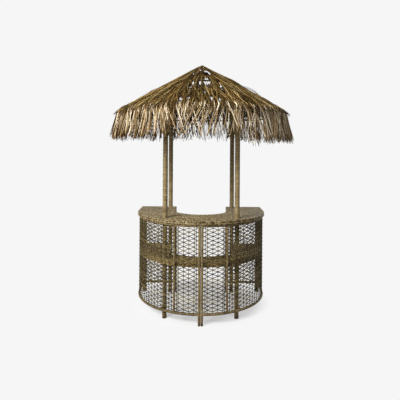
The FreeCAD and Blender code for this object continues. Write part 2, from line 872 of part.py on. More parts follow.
def build_roof():
    """Ring, hub, rafters, hoops and thatch."""
    save("roof_ring", roof_ring())
    save("apex_hub", hub())
    for index, azimuth in enumerate(azimuths()):
        save("rafter_" + str(index + 1), rafter(azimuth))
    save("upper_hoop", hoop(upper_hoop_radius, hoop_depth, hoop_diameter, tube_wall))
    save("middle_hoop", hoop(middle_hoop_radius, hoop_depth, hoop_diameter, tube_wall))
    save("eave_hoop", hoop(eave_radius - eave_hoop_inset, hoop_depth, hoop_diameter, tube_wall))
    step = course_gap * math.cos(pitch)
    save("thatch_cap", thatch_cap())
    save("thatch_upper", course(cap_radius + step, upper_course_radius))
    save("thatch_lower", course(upper_course_radius + step, eave_radius))
    save("thatch_fringe", fringe())


os.makedirs("parts", exist_ok=True)
build_counter()
build_poles()
build_fasteners()
build_roof()
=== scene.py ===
import math

import bmesh
import bpy
import numpy as np
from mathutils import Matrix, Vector


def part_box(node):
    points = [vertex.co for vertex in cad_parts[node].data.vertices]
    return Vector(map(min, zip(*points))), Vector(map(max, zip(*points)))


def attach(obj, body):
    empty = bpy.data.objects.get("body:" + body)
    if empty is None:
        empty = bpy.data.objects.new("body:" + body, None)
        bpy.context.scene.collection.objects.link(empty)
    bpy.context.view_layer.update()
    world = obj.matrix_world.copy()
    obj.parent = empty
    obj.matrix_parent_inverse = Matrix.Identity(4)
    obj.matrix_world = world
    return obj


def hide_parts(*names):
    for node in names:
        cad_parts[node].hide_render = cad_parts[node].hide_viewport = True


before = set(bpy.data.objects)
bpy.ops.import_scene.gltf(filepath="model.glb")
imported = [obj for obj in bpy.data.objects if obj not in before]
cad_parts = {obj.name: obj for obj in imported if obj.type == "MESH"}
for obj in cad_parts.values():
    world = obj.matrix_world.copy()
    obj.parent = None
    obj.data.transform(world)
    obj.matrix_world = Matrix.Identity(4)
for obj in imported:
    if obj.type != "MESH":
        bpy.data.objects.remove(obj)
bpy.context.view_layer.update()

up = np.array([0.0, 0.0, 1.0])
print("frame loaded:", len(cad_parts), "nodes")


# A colour as a picture stores it, 0 to 255, made linear
def tint(red, green, blue):
    share = np.array([red, green, blue]) / 255
    linear = np.where(share < 0.04045, share / 12.92, ((share + 0.055) / 1.055) ** 2.4)
    return (*linear.tolist(), 1.0)


# Shader tools

class Wire:  # one output socket, which takes part in sums and products
    def __init__(self, maker, socket):
        self.maker = maker
        self.socket = socket

    def __add__(self, other):
        return self.maker.math("ADD", self, other)

    def __sub__(self, other):
        return self.maker.math("SUBTRACT", self, other)

    def __rsub__(self, other):
        return self.maker.math("SUBTRACT", other, self)

    def __mul__(self, other):
        return self.maker.math("MULTIPLY", self, other)

    __radd__, __rmul__ = __add__, __mul__


class NodeMaker:  # adds nodes to one tree
    def __init__(self, tree):
        self.tree = tree
        tree.nodes.clear()

    # its type, its settings, and the values or links of its sockets, by number or name
    def node(self, kind, settings=None, inputs=None, output=0):
        made = self.tree.nodes.new(kind)
        for key, value in (settings or {}).items():
            if key == "stops":
                self.setStops(made.color_ramp.elements, value)
            else:
                setattr(made, key, value)
        pairs = inputs.items() if isinstance(inputs, dict) else enumerate(inputs or [])
        for key, value in pairs:
            if isinstance(value, Wire):
                self.tree.links.new(value.socket, made.inputs[key])
            else:
                made.inputs[key].default_value = value
        return Wire(self, made.outputs[output]) if len(made.outputs) else None

    def setStops(self, elements, stops):
        while len(elements) < len(stops):
            elements.new(0.5)
        for element, (place, color) in zip(elements, stops):
            element.position = place
            element.color = color

    def math(self, operation, first, second):
        return self.node("ShaderNodeMath", {"operation": operation}, [first, second])

    def blend(self, factor, first, second):
        settings = {"data_type": "RGBA"}
        return self.node("ShaderNodeMix", settings, {0: factor, 6: first, 7: second}, output=2)

    def ramp(self, factor, places, colors):
        stops = list(zip(places, [tint(*color) for color in colors]))
        return self.node("ShaderNodeValToRGB", {"stops": stops}, [factor])

    def noise(self, vector, scale, detail=2.0):
        return self.node("ShaderNodeTexNoise", {}, {"Vector": vector, "Scale": scale, "Detail": detail})

    def swing(self, vector, scale, detail=2.0):  # noise about 0
        return self.noise(vector, scale, detail) - 0.5

    def place(self):
        return self.node("ShaderNodeTexCoord", output="Object")

    def tone(self):
        return self.node("ShaderNodeAttribute", {"attribute_name": "tone"}, output="Fac")

    def strand(self, along, across):  # the piece's own map, stretched along and across its strands
        strand = self.node("ShaderNodeUVMap", {"uv_map": "strand"})
        return self.node("ShaderNodeVectorMath", {"operation": "MULTIPLY"}, [strand, (along, across, 1.0)])

    # The look gives bump (strength, depth) and rough (least, span over the grain)
    def surface(self, look, color, grain, height, metal=0.0):
        bump = {"Strength": look["bump"][0], "Distance": look["bump"][1], "Height": height}
        sockets = {"Base Color": color, "Roughness": grain * look["rough"][1] + look["rough"][0],
                   "Metallic": metal, "Specular IOR Level": look["gloss"],
                   "Normal": self.node("ShaderNodeBump", {}, bump)}
        self.node("ShaderNodeOutputMaterial", {}, [self.node("ShaderNodeBsdfPrincipled", {}, sockets)])


def newMaterial(name):
    material = bpy.data.materials.new(name)
    material.use_nodes = True
    return material, NodeMaker(material.node_tree)


# Woven strand, darkened near the floor by painted shade: grain along it, dashes across it, mottling and dust
# in patches.
# Its tone is near 0 in the grooves between strands, where shade is painted, and colors go from there to the
# palest fibres.
strandLook = dict(grain=(45.0, 900.0), dash=(80.0, 17.0), mottle=42.0, patch=6.0, speck=260.0,
                  toneShare=0.5, grainShare=0.3, patchShare=0.3, speckShare=0.3, start=0.20,
                  floorShadeHeight=0.16, floorShade=-0.2, places=(0.10, 0.34, 0.55, 0.82), bump=(0.5, 0.0007),
                  bumpGrain=0.7, rough=(0.60, 0.25), gloss=0.2)


def strandMaterial(name, colors, mottled=0.4, dashed=0.0):
    look = strandLook
    material, maker = newMaterial(name)
    place = maker.place()
    grain = maker.swing(maker.strand(*look["grain"]), 1.0, 3.0)
    patch = maker.swing(place, look["patch"], 3.0)
    mottle = maker.swing(place, look["mottle"], 3.0)
    dash = maker.swing(maker.strand(*look["dash"]), 1.0, 1.0)
    speck = maker.swing(place, look["speck"])
    height = maker.node("ShaderNodeSeparateXYZ", {}, [place], output="Z")
    # painted shade near the floor: the lower the strand, the darker it is
    floorShade = maker.node("ShaderNodeMapRange", {}, [height, 0.0, look["floorShadeHeight"], look["floorShade"], 0.0])
    shade = (maker.tone() * look["toneShare"] + grain * look["grainShare"] + patch * look["patchShare"]
             + mottle * mottled + dash * dashed + speck * look["speckShare"] + floorShade + look["start"])
    relief = grain * look["bumpGrain"] + speck * (1 - look["bumpGrain"])
    maker.surface(look, maker.ramp(shade, look["places"], colors), grain, relief)
    return material


# Dry leaf: a tone to a leaf, with streaks and specks. A slow noise, new at each leaf, leads from
# straw to grey over the range called husk. A slope along one direction paints light and shade by
# side: the slope leaves are painted paler on the left, the fringe darker on the left.
leafLook = dict(paintedSideLight=(-0.98, -0.2, 0.0), streak=(9.0, 420.0), hue=(0.9, 0.9), patch=4.0, speck=90.0,
                toneShare=0.8, streakShare=0.4, patchShare=0.3, speckShare=0.15,
                places=(0.05, 0.28, 0.50, 0.72, 0.95), bump=(0.5, 0.0008), rough=(0.68, 0.2),
                gloss=0.03)
slopeLook = dict(straw=[(28, 16, 4), (66, 43, 16), (111, 76, 34), (152, 114, 62), (200, 169, 114)],
                 grey=[(20, 17, 5), (46, 39, 16), (76, 67, 33), (106, 97, 54), (156, 146, 102)],
                 slope=0.13, start=0.12, husk=(0.38, 0.62))
fringeLook = dict(straw=[(32, 20, 7), (92, 68, 33), (148, 119, 74), (196, 170, 124), (238, 222, 186)],
                  grey=[(24, 16, 8), (66, 50, 30), (118, 97, 68), (170, 149, 118), (222, 209, 184)],
                  slope=-0.12, start=0.08, husk=(0.34, 0.56))


def leafMaterial(name, colors):
    look = leafLook
    material, maker = newMaterial(name)
    place = maker.place()
    streak = maker.swing(maker.strand(*look["streak"]), 1.0, 3.0)
    hue = maker.noise(maker.strand(*look["hue"]), 1.0, 1.0)
    patch = maker.swing(place, look["patch"])
    speck = maker.swing(place, look["speck"])
    # painted light and shade by side: the colour rises or falls along this direction
    paintedSideLight = maker.node("ShaderNodeVectorMath", {"operation": "DOT_PRODUCT"}, [place, look["paintedSideLight"]],
                         output="Value")
    shade = (maker.tone() * look["toneShare"] + streak * look["streakShare"] + patch * look["patchShare"]
             + speck * look["speckShare"] + paintedSideLight * colors["slope"] + colors["start"])
    ramps = [maker.ramp(shade, look["places"], colors[kind]) for kind in ("straw", "grey")]
    choice = maker.node("ShaderNodeMapRange", {}, [hue, *colors["husk"], 0.0, 1.0])
    maker.surface(look, maker.blend(choice, *ramps), streak, streak)
    return material


# Coated tube, moulded rubber or bare steel: broad mottling with a fine grain in the surface
coatLook = dict(mottle=14.0, grain=700.0, broad=0.7, fine=0.3, bump=(0.25, 0.0004), span=0.3, gloss=0.5)


def coatMaterial(name, dark, pale, rough, metal):
    look = dict(coatLook, rough=(rough - coatLook["span"] / 2, coatLook["span"]))
    material, maker = newMaterial(name)
    place = maker.place()
    broad = maker.noise(place, look["mottle"], 4.0)
    fine = maker.noise(place, look["grain"])
    color = maker.blend(broad * look["broad"] + fine * look["fine"], tint(*dark), tint(*pale))
    maker.surface(look, color, broad, fine, metal)
    return material


tubeWicker = strandMaterial("tubeWicker", [(44, 34, 16), (98, 81, 50), (145, 126, 88), (194, 177, 138)])
meshWicker = strandMaterial("meshWicker", [(25, 19, 6), (58, 48, 22), (92, 79, 44), (146, 129, 86)])
boardWicker = strandMaterial("boardWicker", [(50, 40, 22), (108, 92, 60), (147, 130, 95), (194, 178, 140)],
                             0.9, 1.35)
# The shelves' copy of the board wicker is paler: painted light on shelves that lie in the counter's shadow.
shelfWickerPaintedLight = strandMaterial("shelfWickerPaintedLight", [(56, 43, 20), (124, 102, 62), (160, 137, 92), (196, 174, 130)],
                             0.8, 0.8)
slopeLeaf = leafMaterial("slopeLeaf", slopeLook)
fringeLeaf = leafMaterial("fringeLeaf", fringeLook)
print("materials made")


# Mesh tools

def addObject(name, data):
    added = bpy.data.objects.new(name, data)
    bpy.context.scene.collection.objects.link(added)
    return added


# Points (n, 3), and blocks of faces with one corner count each: (indices, texture corners)
def makePiece(name, points, blocks, tones, material, nodes, slot, smooth=True):
    loops = np.concatenate([index.ravel() for index, _ in blocks]).astype(np.int32)
    sizes = np.concatenate([np.full(len(index), index.shape[1]) for index, _ in blocks])
    corners = np.concatenate([corner.reshape(-1, 2) for _, corner in blocks])
    mesh = bpy.data.meshes.new(name)
    mesh.vertices.add(len(points))
    mesh.vertices.foreach_set("co", points.astype(np.float32).ravel())
    mesh.loops.add(len(loops))
    mesh.loops.foreach_set("vertex_index", loops)
    mesh.polygons.add(len(sizes))
    mesh.polygons.foreach_set("loop_start", (np.cumsum(sizes) - sizes).astype(np.int32))
    mesh.update(calc_edges=True)
    mesh.uv_layers.new(name="strand").data.foreach_set("uv", corners.astype(np.float32).ravel())
    toneData = mesh.attributes.new("tone", "FLOAT", "POINT").data
    toneData.foreach_set("value", tones.astype(np.float32).ravel())
    work = bmesh.new()
    work.from_mesh(mesh)
    bmesh.ops.remove_doubles(work, verts=work.verts, dist=1e-6)
    work.to_mesh(mesh)
    work.free()
    mesh.polygons.foreach_set("use_smooth", np.full(len(mesh.polygons), smooth))
    mesh.materials.append(material)
    piece = addObject(name, mesh)
    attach(piece, "root")
    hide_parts(*nodes)


def unit(vectors):  # the vectors divided by their lengths
    return vectors / np.maximum(np.linalg.norm(vectors, axis=-1, keepdims=True), 1e-12)


def lengthAlong(line):  # the running length at each point of a line
    return np.concatenate([[0.0], np.cumsum(np.linalg.norm(np.diff(line, axis=0), axis=1))])


def mirrored(points, side):  # side is 1 on the right and -1 on the left
    return points * np.array([side, 1.0, 1.0])


# Texture corners of quads between two places along a strand and two across it
def quadCorners(low, high, left, right):
    return np.stack([np.stack([low, left], -1), np.stack([low, right], -1),
                     np.stack([high, right], -1), np.stack([high, left], -1)], -2)


strandApart = 3.7  # shift of the texture map from one strand to the next


# Many closed strands: lines and sideways (strands, rings, 3), profile (across, out) and tones
# (strands, rings). Point = line + across * sideways + out * (direction x sideways), and a fan to
# the middle of the first and last ring closes each end.
def carriedStrands(lines, sideways, profile, girth, tones):
    count, rings, sides = lines.shape[0], lines.shape[1], profile.shape[2]
    along = unit(np.gradient(lines, axis=1))
    sideways = unit(sideways - along * np.sum(sideways * along, axis=-1, keepdims=True))
    out = np.cross(along, sideways)
    skin = lines[:, :, None] + profile[..., :1] * sideways[:, :, None] + profile[..., 1:] * out[:, :, None]
    ends = [skin[:, :1].mean(axis=2), skin[:, -1:].mean(axis=2)]
    points = np.concatenate([skin.reshape(count, -1, 3)] + ends, axis=1)
    base = np.arange(count)[:, None, None] * points.shape[1]
    ring, side = np.meshgrid(np.arange(rings - 1), np.arange(sides), indexing="ij")
    after = (side + 1) % sides
    here, there = ring * sides, (ring + 1) * sides
    quads = base[..., None] + np.stack([here + side, here + after, there + after, there + side], -1)[None]
    run = np.linalg.norm(np.diff(lines, axis=1), axis=2).sum(axis=1)[:, None, None] / (rings - 1)
    step = girth / sides
    apart = strandApart * np.arange(count)[:, None, None]
    low, high = run * ring + apart, run * (ring + 1) + apart
    corners = quadCorners(low, high, 0 * low + side * step, 0 * low + (side + 1) * step)
    side, after = side[0], after[0]
    last = (rings - 1) * sides
    first = np.stack([0 * side + rings * sides, after, side], -1)
    final = np.stack([0 * side + rings * sides + 1, last + side, last + after], -1)
    fans = (base + np.concatenate([first, final])[None]).reshape(-1, 3)
    tones = np.concatenate([np.repeat(tones, sides, axis=1), tones[:, :1], tones[:, -1:]], axis=1)
    blocks = [(quads.reshape(-1, 4), corners), (fans, np.zeros((len(fans), 3, 2)))]
    return points.reshape(-1, 3), blocks, tones.ravel()


def joined(parts):  # several (points, blocks, tones) as one
    shift = np.cumsum([0] + [len(part[0]) for part in parts[:-1]])
    blocks = [(index + first, corners) for part, first in zip(parts, shift) for index, corners in part[1]]
    return np.concatenate([part[0] for part in parts]), blocks, np.concatenate([part[2] for part in parts])


# A tube wound with a flat strand. Row k and side j lie at strand width * (k / rows + j / sides)
# along it, so that each row runs into the row one turn on. The strand stands out by the ridge.
def woundTube(line, across, radius, look, seed):
    line = np.asarray(line, float)
    run = lengthAlong(line)
    total, width, rows, sides = run[-1], look["strand"], look["rows"], look["sides"]
    count = math.ceil((total / width + 2) * rows) + 1
    k, j = np.meshgrid(np.arange(count), np.arange(sides), indexing="ij")
    raw = width * (k / rows + j / sides - 1)
    at = np.clip(raw, 0, total)
    tangent = unit(np.gradient(line, run, axis=0))
    center = np.stack([np.interp(at, run, line[:, axis]) for axis in range(3)], -1)
    along = unit(np.stack([np.interp(at, run, tangent[:, axis]) for axis in range(3)], -1))
    across = np.asarray(across, float)
    across = unit(across - along * np.sum(across * along, axis=-1, keepdims=True))
    out = np.cross(along, across)
    inside = (raw > 0) & (raw < total)
    crown = (k % rows > 0) & inside
    reach = (radius - look["ridge"] * ~crown)[..., None]
    turn = (2 * np.pi * j / sides)[..., None]
    skin = center + reach * (np.cos(turn) * across + np.sin(turn) * out)
    random = np.random.default_rng(seed)
    level = random.uniform(*look["levels"], count // rows + 3)
    # tone 0 off the crown: painted shade in the grooves between the turns
    tones = np.interp(k // rows + j / sides, np.arange(len(level)), level) * crown
    k, j = np.meshgrid(np.arange(count - 1), np.arange(sides), indexing="ij")
    wraps = j == sides - 1
    ahead = np.where(wraps, (k + rows) * sides, k * sides + j + 1)
    quads = np.stack([k * sides + j, ahead, ahead + sides, (k + 1) * sides + j], -1).reshape(-1, 4)
    step = 2 * np.pi * radius / sides
    corners = quadCorners(k * width / rows, (k + 1) * width / rows, j * step, (j + 1) * step)[..., ::-1]
    whole = quads.max(axis=1) < count * sides
    ring = np.arange(sides)
    points = np.concatenate([skin.reshape(-1, 3), line[:1], line[-1:]])
    top = (count - 1) * sides
    fans = np.concatenate([np.stack([0 * ring + len(points) - 2, (ring + 1) % sides, ring], -1),
                           np.stack([0 * ring + len(points) - 1, top + ring, top + (ring + 1) % sides], -1)])
    blocks = [(quads[whole], corners.reshape(-1, 4, 2)[whole]), (fans, np.zeros((len(fans), 3, 2)))]
    return points, blocks, np.concatenate([tones.ravel(), [look["endTone"]] * 2])


# Sizes read from the frame

def boxMiddle(node):
    low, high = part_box(node)
    return np.array((low + high) / 2)


def boxSize(node):
    low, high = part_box(node)
    return np.array(high - low)


sides = {"right": 1, "left": -1}
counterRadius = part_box("counter_right")[1].x
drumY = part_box("counter_center")[0].y + counterRadius
railRadius = boxSize("bottom_rail_right")[2] / 2
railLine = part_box("bottom_rail_right")[1].x - railRadius
railHeights = {node: boxMiddle(node + "_right")[2] for node in ("bottom_rail", "top_rail")}
backLine = boxMiddle("rear_bottom_rail_right")[1]
polePlace = boxMiddle("front_pole_right")
stilePlace = boxMiddle("stile_right")
stileAngle = math.atan2(stilePlace[0], drumY - stilePlace[1])
slimRadius = boxSize("center_leg_right")[0] / 2


# A distance round the half circle from its front, then straight back: the point on the plan and
# the outward direction
def onDrum(distance, radius):
    angle = np.clip(distance / radius, -np.pi / 2, np.pi / 2)
    beyond = np.maximum(distance - radius * np.pi / 2, 0)
    point = np.stack([radius * np.sin(angle), drumY - radius * np.cos(angle) + beyond, 0 * angle], -1)
    return point, np.stack([np.sin(angle), -np.cos(angle), 0 * angle], -1)


# CAD nodes that keep their shape and get a finish: dark and pale tint, roughness, metal, nodes
finishes = {
    "roofTube": ((52, 38, 22), (92, 72, 46), 0.55, 0.0, ["roof_ring", "apex_hub", "pole_saddles"]
                 + ["rafter_" + str(index) for index in range(1, 9)]),
    "hoopCane": ((70, 54, 32), (116, 94, 60), 0.60, 0.0, ["upper_hoop", "middle_hoop", "eave_hoop"]),
    "bracketSteel": ((44, 36, 26), (74, 62, 46), 0.50, 0.0, ["shelf_brackets"]),
    "footRubber": ((28, 26, 25), (48, 46, 44), 0.75, 0.0, ["large_feet", "small_feet"]),
    "brightSteel": ((136, 138, 142), (182, 184, 188), 0.36, 1.0,
                    ["center_bolts", "center_spacers", "pole_bolts", "counter_screws", "rafter_screws"])}
for name, (dark, pale, rough, metal, nodes) in finishes.items():
    finish = coatMaterial(name, dark, pale, rough, metal)
    for node in nodes:
        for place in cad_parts[node].material_slots:
            place.material = finish
print("frame nodes finished")

# Wound tubes
# The slim wraps' lower levels paint shade on the slim tubes of the lower frame; within a wrap the levels vary
# at random from turn to turn.
thickWrap = dict(strand=0.0085, ridge=0.0007, rows=3, sides=18, levels=(0.58, 0.98), endTone=0.3)
slimWrap = dict(strand=0.0070, ridge=0.0006, rows=3, sides=12, levels=(0.30, 0.85), endTone=0.3)
poleWraps = dict(above=0.0026, below=-0.0006)  # a second layer of strand above the counter
pairInward = 0.0014  # the two middle legs swell towards each other until they all but touch
railSlim = dict(bottom_rail=0.0, top_rail=0.003)  # the upper rail is slimmer, tight under the counter
railSamples = 180  # points along half of the rail ring
legs = {"corner_leg": thickWrap, "stile": slimWrap, "inner_leg": slimWrap}


def makeTube(node, parts):
    makePiece(node + "_wound", *joined(parts), tubeWicker, [node], "wrapped_tube")


# A wound tube along one axis of its node's box, from end to end, with half the box's width as radius
def straightTube(node, axis, look, seed):
    low, high = np.array(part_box(node)[0]), np.array(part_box(node)[1])
    start, end = boxMiddle(node), boxMiddle(node)
    start[axis], end[axis] = low[axis], high[axis]
    across = np.roll([1.0, 0.0, 0.0], axis + 1)
    radius = (high - low)[(axis + 1) % 3] / 2
    line = start + (end - start) * np.linspace(0, 1, 4)[:, None]
    makeTube(node, [woundTube(line, across, radius, look, seed)])


# An upright wound tube: x = the node's middle - aside, and radius = half its width + thicker
def uprightTube(node, low, high, aside, thicker, look, seed):
    line = (boxMiddle(node) - [aside, 0, 0]) * [1, 1, 0] + up * np.linspace(low, high, 4)[:, None]
    return woundTube(line, [1.0, 0.0, 0.0], boxSize(node)[0] / 2 + thicker, look, seed)


# A pole has one layer of strand up to the counter and two above it
def polePiece(node, seed):
    low, meeting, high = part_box(node)[0].z, boxMiddle("counter_center")[2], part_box(node)[1].z
    makeTube(node, [uprightTube(node, low, meeting, 0, poleWraps["below"], thickWrap, seed),
                    uprightTube(node, meeting, high, 0, poleWraps["above"], thickWrap, seed + 1)])


# The middle legs fill the room that their spacers leave between them
def middleLeg(node, side, seed):
    low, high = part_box(node)[0].z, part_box(node)[1].z
    makeTube(node, [uprightTube(node, low, high, side * pairInward, pairInward, slimWrap, seed)])


seed = 100
for tag, side in sides.items():
    middleLeg("center_leg_" + tag, side, seed)
    for name in ("front_pole", "rear_pole"):
        seed += 2
        polePiece(name + "_" + tag, seed)
    for name, look in legs.items():
        seed += 1
        straightTube(name + "_" + tag, 2, look, seed)
    for name in ("rear_bottom_rail", "rear_top_rail"):
        seed += 1
        straightTube(name + "_" + tag, 0, slimWrap, seed)
    for name, z in railHeights.items():
        seed += 1
        start = boxMiddle("center_leg_right")[0]
        end = railLine * np.pi / 2 + backLine - boxSize("corner_leg_right")[1] / 2 - drumY
        line = onDrum(np.linspace(start, end, railSamples), railLine)[0] + up * (z + railSlim[name])
        line = mirrored(line, side)
        makeTube(name + "_" + tag, [woundTube(line, up, railRadius - railSlim[name], slimWrap, seed)])

tieSink = 0.006  # how far a tie's ends run into the pole and the rail
poleRadius = boxSize("front_pole_right")[0] / 2
poleReach = math.hypot(polePlace[0], drumY - polePlace[1])
poleOut = np.array([polePlace[0], polePlace[1] - drumY, 0]) / poleReach
ties = []
for side in sides.values():
    for z in railHeights.values():
        reach = np.linspace(poleReach + poleRadius - tieSink, railLine - railRadius + tieSink, 4)
        line = np.array([0, drumY, z]) + poleOut * reach[:, None]
        ties.append(woundTube(mirrored(line, side), up, slimRadius, slimWrap, seed + len(ties)))
makeTube("pole_ties", ties)
print("tubes wound")

# Openwork: strands zigzag from stake to stake, and neighbours meet on every other one, in front of
# it and behind. A narrow ladder borders each upright.
openwork = dict(row=0.0203, stakePitch=0.047, ladder=0.015, strandHalf=(0.0016, 0.0042),
                stakeRadius=0.0030, stakeSink=0.003, stakeRings=12, sway=0.0046, round=0.2, samples=6,
                sides=6, waver=0.0006, tones=(0.1, 1.15), toneScatter=0.2, knotShade=0.25,
                stakeTones=(0.2, 0.8))


# Height of strand j at a station = row * j + row / 2 * sign, where sign is 1 or -1 in turn
def openworkPanel(kind, tag, place, length, low, high, stakes, seed):
    look, side = openwork, sides[tag]
    random = np.random.default_rng(seed + side)
    stations = np.concatenate([[0, look["ladder"]], stakes, [length - look["ladder"], length]])
    signs = (-1.0) ** np.arange(len(stakes) + 2)
    signs = np.concatenate([signs[:1], signs, signs[-1:]])
    samples = np.linspace(0, 1, look["samples"], endpoint=False)
    between = stations[:-1, None] + np.diff(stations)[:, None] * samples
    distance = np.concatenate([between.ravel(), [length]])
    count = round((high - low) / look["row"])
    row = (high - low) / count
    strand = np.arange(count + 1)[:, None]
    wave = np.interp(distance, stations, signs)
    rounded = (1 - look["round"]) * wave + look["round"] * np.sin(wave * np.pi / 2)
    wave = rounded * (-1.0) ** strand
    inner = (strand > 0) & (strand < count)
    z = low + row * strand + row / 2 * wave * inner + random.normal(0, look["waver"], wave.shape)
    point, out = mirrored(np.stack(place(distance)), side)
    lines = point + out * (look["sway"] * wave)[..., None] + up * z[..., None]
    turn = np.linspace(0, 2 * np.pi, look["sides"], endpoint=False)
    thick, wide = look["strandHalf"]
    flat = np.stack([thick * np.cos(turn), wide * np.sin(turn)], -1)[None, None]
    tones = random.uniform(*look["tones"], (len(lines), 1))
    tones = tones + random.normal(0, look["toneScatter"], wave.shape) - look["knotShade"] * wave ** 4
    strands = carriedStrands(lines, np.broadcast_to(out, lines.shape), flat, 4 * wide, tones)
    point, out = mirrored(np.stack(place(stations[1:-1])), side)
    heights = np.linspace(low - look["stakeSink"], high + look["stakeSink"], look["stakeRings"])
    uprights = point[:, None] + up * heights[:, None]
    stake = look["stakeRadius"] * np.stack([np.cos(turn), np.sin(turn)], -1)[None, None]
    tones = random.uniform(*look["stakeTones"], uprights.shape[:2])
    rods = carriedStrands(uprights, np.broadcast_to(out[:, None], uprights.shape), stake,
                          2 * np.pi * look["stakeRadius"], tones)
    makePiece(kind + "Openwork_" + tag, *joined([strands, rods]), meshWicker, [kind + "_weave_" + tag],
              "woven_openwork")


def evenStakes(length):  # about one pitch apart, without the two ends
    bays = round(length / openwork["stakePitch"])
    return np.linspace(0, length, bays + 1)[1:-1]


def onRail(start):  # point = on the rail's ring, a distance on from the start
    return lambda distance: onDrum(start + distance, railLine)


def onBack(start):  # point = (start + distance, the back line), and outward is towards the back
    return lambda distance: (np.stack([start + distance, 0 * distance + backLine, 0 * distance], -1),
                             np.tile([0.0, 1.0, 0.0], (len(distance), 1)))


low = railHeights["bottom_rail"] + railRadius
high = railHeights["top_rail"] - railRadius + 1.5 * railSlim["top_rail"]  # nearly up to the slim rail
frontStart = boxMiddle("center_leg_right")[0] + slimRadius
frontEnd = railLine * stileAngle - slimRadius
sideStart = railLine * stileAngle + slimRadius
sideEnd = railLine * np.pi / 2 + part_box("corner_leg_right")[0].y - drumY
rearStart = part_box("inner_leg_right")[1].x
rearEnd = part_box("corner_leg_right")[0].x
frontStakes = railLine * np.radians([5.4, 9.8, 14.1, 18.5]) - frontStart  # degrees, from the photograph
panels = [("front", onRail(frontStart), frontEnd - frontStart, frontStakes, 200),
          ("side", onRail(sideStart), sideEnd - sideStart, evenStakes(sideEnd - sideStart), 210),
          ("rear", onBack(rearStart), rearEnd - rearStart, evenStakes(rearEnd - rearStart), 220)]
for tag in sides:
    for kind, place, length, stakes, seed in panels:
        openworkPanel(kind, tag, place, length, low, high, stakes, seed)
print("openwork woven")

# Woven boards: flat strands run along the board and pass over and under hidden ribs
weave = dict(strand=0.0090, rib=0.030, depth=0.0024, edge=0.008, rowsToRib=5, under=0.2,
             rounding=(0, 0.1, 0.35, 0.65), tones=(0.45, 1.0), patches=40, grooveShade=0.25,
             underRibShade=0.25, endTone=0.15)
# The rim groove is also darkened in tone: painted shade.
rim = dict(height=0.0225, half=0.0030, depth=0.006)  # groove over the cord that binds the lower rim
seam = dict(angle=math.radians(18), gap=0.001)


# A rounded oblong, once round from the middle of its inner side, over the top: share of the width,
# height, outward direction (two) and distance, at steps of a third of a strand
def boardOutline(width, thickness):
    edge = weave["edge"]
    arc = np.linspace(0, np.pi / 2, 12)
    corners = [(edge, thickness - edge, np.pi), (width - edge, thickness - edge, np.pi / 2),
               (width - edge, edge, 0), (edge, edge, -np.pi / 2)]
    pieces = [np.array([[0, thickness / 2, -1, 0]])]
    for x, z, start in corners:
        direction = np.stack([np.cos(start - arc), np.sin(start - arc)], -1)
        pieces.append(np.concatenate([[x, z] + edge * direction, direction], -1))
    pieces.append(pieces[0])
    outline = np.concatenate(pieces)
    run = lengthAlong(outline[:, :2])
    strands = 2 * round(run[-1] / weave["strand"] / 2)
    at = np.arange(3 * strands) * run[-1] / (3 * strands)
    share, z, outward, rise = [np.interp(at, run, outline[:, column]) for column in range(4)]
    return share / width, z, outward, rise, at


